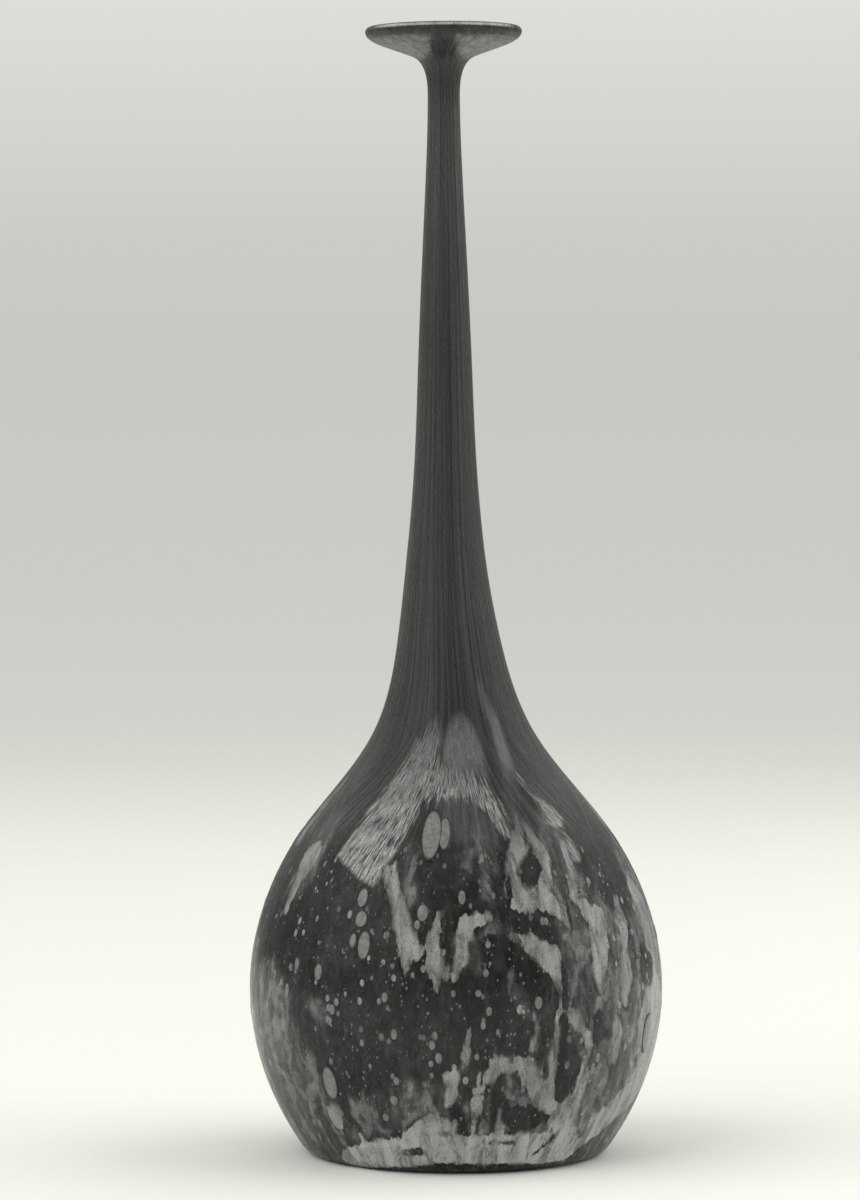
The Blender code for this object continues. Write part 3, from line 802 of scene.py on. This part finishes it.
def mottled_glass():
    g = Graph(bpy.data.materials.new("mottled_glass"))
    flow = g.attribute("flow", "Vector")
    patch, core, veil = g.attribute("patch"), g.attribute("core"), g.attribute("veil")
    sheen, neck, lip, rise = g.attribute("sheen"), g.attribute("neck"), g.attribute("lip"), g.attribute("rise")
    fan = g.attribute("fan", "Vector")

    # edges wander a little and are crisp in one place and soft in another
    broad = g.noise(g.stretched(flow, (1, 1, 0.45)), 0.17, 2.0)
    fine = g.noise(g.stretched(flow, (1, 1, 0.30)), 0.75, 3.0, 0.6)
    middle = g.noise(g.stretched(flow, (1, 1, 0.50)), 0.36, 2.0, 0.5, 0.6)
    wander = g.math("MULTIPLY_ADD", fine, 2.6, g.math("MULTIPLY_ADD", middle, 4.0, -3.3))
    wander = g.math("MULTIPLY", wander, g.ramp(rise, 1.0, 14.0, 0.45, 1.0))
    depth = g.math("ADD", patch, wander)
    soft = g.ramp(broad, 0.42, 0.64, 0.20, 1.5)
    core_share = g.ramp(g.math("SUBTRACT", core, wander), -0.3, 0.7)

    # small pale flecks beside the drawn paths
    fleck = g.noise(g.stretched(flow, (1, 1, 0.24)), 0.50, 3.0, 0.55)
    fleck_depth = g.math("MULTIPLY_ADD", fleck, 16.0, g.math("MULTIPLY_ADD", veil, 1.6, -12.9))
    fleck_depth = g.math("MINIMUM", fleck_depth, g.math("MULTIPLY", core, -1.0))
    depth = g.math("MAXIMUM", depth, fleck_depth)
    pale = g.ramp(depth, g.math("MULTIPLY", soft, -1.0), soft)

    # tones inside the pale glass
    cloud = g.noise(g.stretched(flow, (1, 1, 0.35)), 0.26, 4.0, 0.6, 0.5)
    # painted light: the pale glass is brighter near the foot, as if lit from the bright floor
    floor_light_gain = g.ramp(rise, 4.0, 22.0, 1.8, 1.0)
    pale_tone = g.math("MULTIPLY", g.ramp(cloud, 0.32, 0.68, 0.22, 0.66), floor_light_gain)

    # tones inside the dark glass: deep grey shapes, a net of paler lines and faint drawn streaks
    streak = g.noise(g.stretched(flow, (1, 1, 0.16)), 0.42, 4.0, 0.6, 0.3)
    deep = g.math("MULTIPLY", veil, g.ramp(streak, 0.32, 0.68, 0.24, 0.54))
    net = g.math("MULTIPLY", g.net(flow, 0.085), g.math("MULTIPLY_ADD", veil, 0.85, 0.15))
    drawn = g.ramp(streak, 0.54, 0.76, 0.0, 0.40)
    grey = g.math("MAXIMUM", g.math("MAXIMUM", deep, drawn), net)
    grey = g.math("MULTIPLY", grey, g.math("MULTIPLY_ADD", core_share, -0.88, 1.0))
    blotch = g.noise(g.stretched(flow, (1, 1, 0.6)), 0.42, 4.0, 0.65)
    blotch_gain = g.ramp(blotch, 0.34, 0.66, 0.55, 1.45)
    dark_tone = g.math("MULTIPLY", g.ramp(grey, 0.0, 1.0, 0.020, 0.25), blotch_gain)
    core_tone = g.ramp(cloud, 0.34, 0.66, 0.5, 1.5)
    dark_tone = g.math("MULTIPLY", dark_tone, g.blend(core_share, 1.0, core_tone))
    rim = g.ramp(g.math("ABSOLUTE", g.math("ADD", depth, 0.7)), 0.0, 0.6, 0.45, 1.0)
    tone = g.blend(pale, g.math("MULTIPLY", dark_tone, rim), pale_tone)

    # the neck is plainer and darker, with faint drawn lines that spread over the shoulder
    ray = g.noise(g.stretched(fan, (0.50, 0.03, 1.0)), 1.0, 4.0, 0.65)
    shoulder = g.math("MULTIPLY", g.ramp(rise, 92.0, 104.0), g.ramp(rise, 112.0, 150.0, 1.0, 0.0))
    ray_tone = g.math("MULTIPLY_ADD", veil, 0.05, g.ramp(ray, 0.40, 0.70, 0.028, 0.16))
    tone = g.blend(g.math("MULTIPLY", shoulder, 0.75), tone, ray_tone)
    line = g.noise(g.stretched(flow, (1, 1, 0.012)), 0.45, 4.0, 0.7)
    fade = g.ramp(rise, 136.0, 166.0, 0.95, 1.25)
    fade = g.math("MULTIPLY", fade, g.ramp(rise, 240.0, 300.0, 1.0, 1.25))
    neck_tone = g.math("MULTIPLY", g.ramp(line, 0.35, 0.68, 0.028, 0.125), fade)
    neck_tone = g.math("MAXIMUM", neck_tone, g.ramp(line, 0.66, 0.74, 0.0, 0.16))
    neck_tone = g.math("MULTIPLY", neck_tone, g.ramp(rise, 316.0, 328.0, 1.0, 0.7))
    tone = g.blend(neck, tone, neck_tone)

    # the painted sheen: the lights' reflection on the shoulder, painted as a pale tone in fine strands
    strand = g.noise(g.stretched(fan, (2.2, 0.18, 1.0)), 1.0, 3.0, 0.8)
    ragged = g.noise(g.stretched(fan, (0.70, 0.05, 1.0)), 1.0, 3.0, 0.7)
    fringe = g.math("MULTIPLY", g.math("SUBTRACT", ragged, 0.5), g.ramp(rise, 94.0, 112.0, 3.0, 22.0))
    sheen_share = g.ramp(g.math("ADD", sheen, fringe), -0.5, 1.2)
    sheen_share = g.math("MULTIPLY", sheen_share, g.ramp(rise, 112.0, 136.0, 0.96, 0.55))
    sheen_gain = g.ramp(rise, 92.0, 118.0, 0.97, 0.76)
    sheen_tone = g.math("MULTIPLY", g.ramp(strand, 0.40, 0.60, 0.02, 0.94), sheen_gain)
    tone = g.blend(sheen_share, tone, sheen_tone)
    # painted sheen: a soft grey glow of the lights' reflection at the foot of the neck
    sheen_haze = g.math("MULTIPLY", g.attribute("sheen_haze"), g.ramp(blotch, 0.30, 0.60, 0.75, 1.0))
    sheen_haze = g.math("MULTIPLY", sheen_haze, g.ramp(rise, 124.0, 140.0, 1.0, 0.45))
    sheen_haze = g.math("MULTIPLY", sheen_haze, g.ramp(rise, 112.0, 123.0, 0.12, 1.0))
    tone = g.blend(sheen_haze, tone, g.ramp(fine, 0.30, 0.70, 0.20, 0.36))

    # the lip: mottled, with dark streaks out of the neck (the front one painted shade), painted shade along
    # the edge and a painted highlight line on its top
    mottle = g.noise(g.stretched(g.place(), (1000, 1000, 1000)), 0.45, 5.0, 0.75, 0.4)
    lip_tone = g.ramp(mottle, 0.36, 0.64, 0.07, 0.36)
    # painted shade along the lip's edge and in the front streak
    lip_tone = g.blend(g.attribute("lip_streaks_and_shade"), lip_tone, g.ramp(mottle, 0.34, 0.66, 0.03, 0.075))
    # painted highlight on the lip's top
    lip_tone = g.blend(g.attribute("rim_highlight"), lip_tone, g.ramp(mottle, 0.30, 0.55, 0.55, 1.0))
    tone = g.blend(lip, tone, lip_tone)

    # pin-head bubbles and a fine grain
    body = g.ramp(rise, 90.0, 102.0, 1.0, 0.0)
    crowd = g.ramp(g.noise(flow, 0.05, 2.0), 0.40, 0.60, 0.45, 1.0)
    specks = seeds(g, flow, 0.85, 0.08, 0.34, 0.60)
    drops = seeds(g, flow, 0.34, 0.30, 0.95, 0.50)
    seed = g.math("MULTIPLY", g.math("MAXIMUM", specks, drops), g.math("MULTIPLY", body, crowd))
    tone = g.blend(g.math("MULTIPLY", seed, g.ramp(fine, 0.35, 0.65, 0.45, 1.0)), tone, 0.60)
    grain = g.noise(flow, 2.2, 3.0, 0.75)
    tone = g.math("MULTIPLY", tone, g.ramp(grain, 0.32, 0.68, 0.62, 1.38))

    # where the sheen is painted the surface is also matt and a little rough, with fine strands in its bump,
    # and the glass waves gently
    height = g.math("MULTIPLY", strand, g.math("ADD", sheen_share, g.math("MULTIPLY", neck, 0.3)))
    rough_skin = g.bump(height, 0.00022)
    waves = g.noise(g.stretched(flow, (1, 1, 0.35)), 0.10, 2.0)
    surface = {
        "Base Color": g.glass_colour(tone),
        "Roughness": g.blend(sheen_share, g.ramp(cloud, 0.3, 0.7, 0.24, 0.34), 0.46),
        "Normal": g.bump(waves, 0.0006, rough_skin),
        "IOR": 1.40,
        "Specular IOR Level": 0.20,
        "Transmission Weight": 0.6,
    }
    return g.surface(surface)


def inner_glass():
    g = Graph(bpy.data.materials.new("inner_glass"))
    place = g.place()
    streak = g.noise(g.stretched(place, (1000, 1000, 250)), 0.06, 2.0)
    in_neck = g.ramp(g.split(place)["Z"], 0.100, 0.150, 1.0, 0.35)
    tone = g.math("MULTIPLY", g.ramp(streak, 0.3, 0.7, 0.80, 0.95), in_neck)
    surface = {
        "Base Color": g.glass_colour(tone),
        "Roughness": g.ramp(streak, 0.3, 0.7, 0.03, 0.08),
        "IOR": 1.5,
        "Transmission Weight": 0.95,
    }
    return g.surface(surface)


def bubble_glass():
    g = Graph(bpy.data.materials.new("bubble_glass"))
    cloud = g.noise(g.stretched(g.place(), (1000, 1000, 1000)), 0.8, 3.0)
    heart = g.ramp(cloud, 0.3, 0.7, 0.26, 0.46)
    tone = g.blend(g.ramp(g.attribute("rim"), 0.82, 0.96), heart, 0.035)
    surface = {
        "Base Color": g.glass_colour(tone),
        "Roughness": g.ramp(cloud, 0.3, 0.7, 0.30, 0.40),
        "IOR": 1.5,
        "Transmission Weight": 0.55,
    }
    return g.surface(surface)


def unit_sphere(segments, rings):
    """Points and faces of a closed sphere of radius 1."""
    turn = np.linspace(0, 2 * math.pi, segments, endpoint=False)
    fall = np.linspace(0, math.pi, rings + 1)[1:-1]
    across, deep = np.sin(fall), np.cos(fall)
    grid = (np.outer(across, np.cos(turn)), np.outer(across, np.sin(turn)), np.outer(deep, 1 + 0 * turn))
    grid = np.stack(grid, axis=2).reshape(-1, 3)
    points = np.vstack((grid, (0, 0, 1), (0, 0, -1)))
    top, low = len(grid), len(grid) + 1
    faces = [tuple(face[::-1]) for face in grid_faces(rings - 1, segments, 0).tolist()]
    last = (rings - 2) * segments
    for j in range(segments):
        k = (j + 1) % segments
        faces += [(j, k, top), (last + k, last + j, low)]
    return points, faces


def glass_place(turn, height):
    """Centre, sideways, upward and outward directions of a place on the outer side."""
    radius = float(side_radius(height))
    slope = float(side_radius(height + 0.0005) - side_radius(height - 0.0005)) / 0.001
    sine, cosine = math.sin(turn), math.cos(turn)
    centre = Vector(hand_shaped(np.array([[radius * sine, -radius * cosine, height]]))[0])
    across = Vector((cosine, sine, 0.0))
    upward = Vector((slope * sine, -slope * cosine, 1.0)).normalized()
    return centre, across, upward, across.cross(upward).normalized()


def bubble_mesh():
    """Drawn bubbles under the skin: flat closed ellipsoids that lift the surface a little."""
    rng = np.random.default_rng(BUBBLE_SEED)
    places = [(*on_the_glass(across, height), width, length) for across, height, width, length in BUBBLES]
    for _ in range(HIDDEN_BUBBLES):
        turn = rng.uniform(*BUBBLE_TURNS)
        width = mix(*BUBBLE_WIDTHS, rng.random() ** 3)
        height = rng.uniform(*BUBBLE_HEIGHTS)
        places.append((turn, height, width, width * rng.uniform(*BUBBLE_STRETCH)))
    sphere, sphere_faces = unit_sphere(BUBBLE_SEGMENTS, BUBBLE_RINGS)
    points, faces = [], []
    for turn, height, width, length in places:
        centre, across, upward, outward = (np.array(vector) for vector in glass_place(turn, height))
        half = BUBBLE_SWELL * np.array((width, length, BUBBLE_RISE * width)) / 2000
        faces += [tuple(corner + len(points) * len(sphere) for corner in face) for face in sphere_faces]
        points.append(centre + (sphere * half) @ np.array((across, upward, outward)))
    # none stands out past the widest part of the belly
    corners = np.vstack(points)
    corners[:, :2] = np.clip(corners[:, :2], -BELLY_RADIUS, BELLY_RADIUS)
    mesh = bpy.data.meshes.new("bubbles")
    mesh.from_pydata(corners.tolist(), [], faces)
    mesh.shade_smooth()
    float_attribute(mesh, "rim", np.tile(np.hypot(sphere[:, 0], sphere[:, 1]), len(points)))
    return mesh


def add_piece(name, mesh, *materials):
    for material in materials:
        mesh.materials.append(material)
    piece = bpy.data.objects.new(name, mesh)
    bpy.context.scene.collection.objects.link(piece)
    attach(piece, "root")
    return piece


def make_bottle():
    bottle = add_piece("bottle_glass", bottle_mesh(), mottled_glass(), inner_glass())
    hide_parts("bottle")
    add_piece("bubbles", bubble_mesh(), bubble_glass())


# The stage: a pale floor that fades into a pale backdrop
FLOOR_REACH = 3.2
FLOOR_FADE = (0.95, 2.3)
FLOOR_TONES = (0.92, 0.99)  # near the bottle and away from it
FLOOR_TINT = (1.0, 1.0, 0.95)
FLOOR_DROP = 0.0002
BACKDROP_TINT = (0.995, 1.005, 0.94)
BACKDROP_SPAN = 0.30  # its shades lie this far below and above eye level, as a share of the distance
# Brightness of the backdrop from below to above: (share of the way up, level)
BACKDROP_LEVELS = (
    (0.0, 0.85),
    (0.36, 0.66),
    (0.44, 0.60),
    (0.52, 0.575),
    (0.56, 0.60),
    (0.65, 0.74),
    (1.0, 0.78),
)
# The backdrop's own light on the bottle, from low down and from the front
LOW_LIGHT = 0.52
FRONT_LIGHT = 0.4
# Soft lights: (name, place, size in metres, watts)
WINDOWS = (
    ("left_window", (-1.0, -0.55, 1.02), (1.7, 1.4), 12.6),
    ("right_window", (1.05, 0.1, 0.80), (1.6, 1.3), 9.6),
)
LIT_HEIGHT = 0.08  # the height on the bottle that the lights face


def floor_material():
    g = Graph(bpy.data.materials.new("pale_floor"))
    length = g.nodes.new("ShaderNodeVectorMath")
    length.operation = "LENGTH"
    reach = g.fill(length, {0: g.place()})["Value"]
    surface = {
        "Base Color": g.tinted(g.ramp(reach, 0.1, 1.0, *FLOOR_TONES), FLOOR_TINT),
        "Roughness": 0.9,
        "Specular IOR Level": 0.1,
        "Alpha": g.ramp(reach, *FLOOR_FADE, 1.0, 0.0),
    }
    return g.surface(surface)


def make_floor():
    bm = bmesh.new()
    bmesh.ops.create_circle(bm, cap_ends=True, segments=128, radius=FLOOR_REACH)
    mesh = bpy.data.meshes.new("floor")
    bm.to_mesh(mesh)
    bm.free()
    mesh.materials.append(floor_material())
    floor = bpy.data.objects.new("floor", mesh)
    floor.location.z = -FLOOR_DROP
    bpy.context.scene.collection.objects.link(floor)


def make_world():
    """A pale backdrop, darkest near eye level, whose light is dimmer towards the front."""
    g = Graph(bpy.data.worlds.new("studio"))
    direction = g.split(g.place("Generated"))
    backdrop = g.nodes.new("ShaderNodeValToRGB")
    g.put(backdrop.inputs[0], g.ramp(direction["Z"], -BACKDROP_SPAN, BACKDROP_SPAN, kind="LINEAR"))
    stops = backdrop.color_ramp.elements
    while len(stops) < len(BACKDROP_LEVELS):
        stops.new(1.0)
    for stop, (share, level) in zip(stops, BACKDROP_LEVELS):
        stop.position = share
        stop.color = (*(level * tint for tint in BACKDROP_TINT), 1.0)
    front = g.ramp(direction["Y"], -1.0, 0.4, FRONT_LIGHT, 1.0, kind="LINEAR")
    lit = g.ramp(direction["Z"], 0.10, 0.50, LOW_LIGHT, front)
    seen = g.nodes.new("ShaderNodeLightPath").outputs["Is Camera Ray"]
    values = {"Color": backdrop.outputs[0], "Strength": g.math("MAXIMUM", seen, lit)}
    g.fill(g.nodes["Background"], values)
    bpy.context.scene.world = g.owner


def make_light(name, place, size, watts):
    data = bpy.data.lights.new(name, "AREA")
    data.shape = "RECTANGLE"
    data.size, data.size_y = size
    data.energy = watts
    light = bpy.data.objects.new(name, data)
    light.location = place
    light.rotation_mode = "QUATERNION"
    light.rotation_quaternion = (Vector((0, 0, LIT_HEIGHT)) - Vector(place)).to_track_quat("-Z", "Y")
    light.visible_glossy = False
    bpy.context.scene.collection.objects.link(light)


def make_camera():
    data = bpy.data.cameras.new("camera")
    data.sensor_width = 36.0
    data.lens = data.sensor_width * (AIM - EYE).length / FRAME_HEIGHT
    data.clip_end = 50.0
    camera = bpy.data.objects.new("camera", data)
    camera.location = EYE
    camera.rotation_mode = "QUATERNION"
    camera.rotation_quaternion = (AIM - EYE).to_track_quat("-Z", "Y")
    bpy.context.scene.collection.objects.link(camera)
    bpy.context.scene.camera = camera


make_camera()
make_bottle()
make_floor()
make_world()
for window in WINDOWS:
    make_light(*window)
bpy.context.scene.view_settings.view_transform = "Standard"
